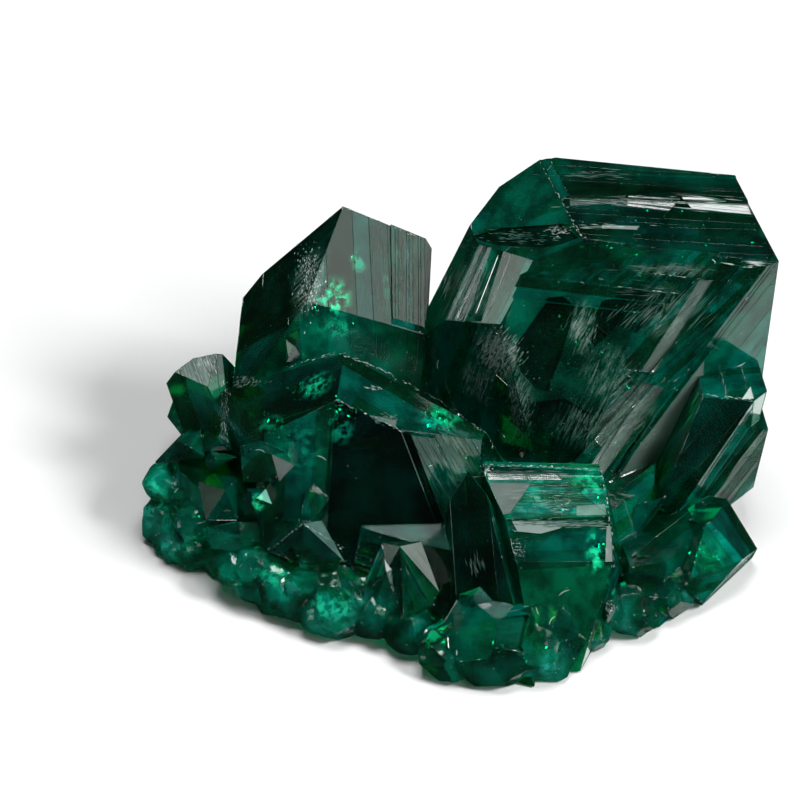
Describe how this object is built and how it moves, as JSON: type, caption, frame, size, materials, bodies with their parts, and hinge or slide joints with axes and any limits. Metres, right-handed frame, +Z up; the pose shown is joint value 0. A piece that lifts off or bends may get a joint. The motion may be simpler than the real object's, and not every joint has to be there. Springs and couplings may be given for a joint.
{
  "type": "dioptase crystal specimen",
  "caption": "Cluster of intergrown emerald-green dioptase crystals with flat slanting faces, cut off flat underneath so that it stands on a shelf or table.",
  "frame": {"origin": "on the flat base, at the middle of the bounding box seen from above", "axes": "+X to the viewer's right along the cluster's width, +Y away from the viewer, +Z up from the flat base"},
  "size_m": [0.0424, 0.0324, 0.0227],
  "materials": {
    "dioptase": "clear deep emerald-green mineral with a glassy lustre, faces finely striated, almost black where it is thick"
  },
  "bodies": {
    "root": {"dioptase_cluster": "dioptase"}
  },
  "joints": []
}
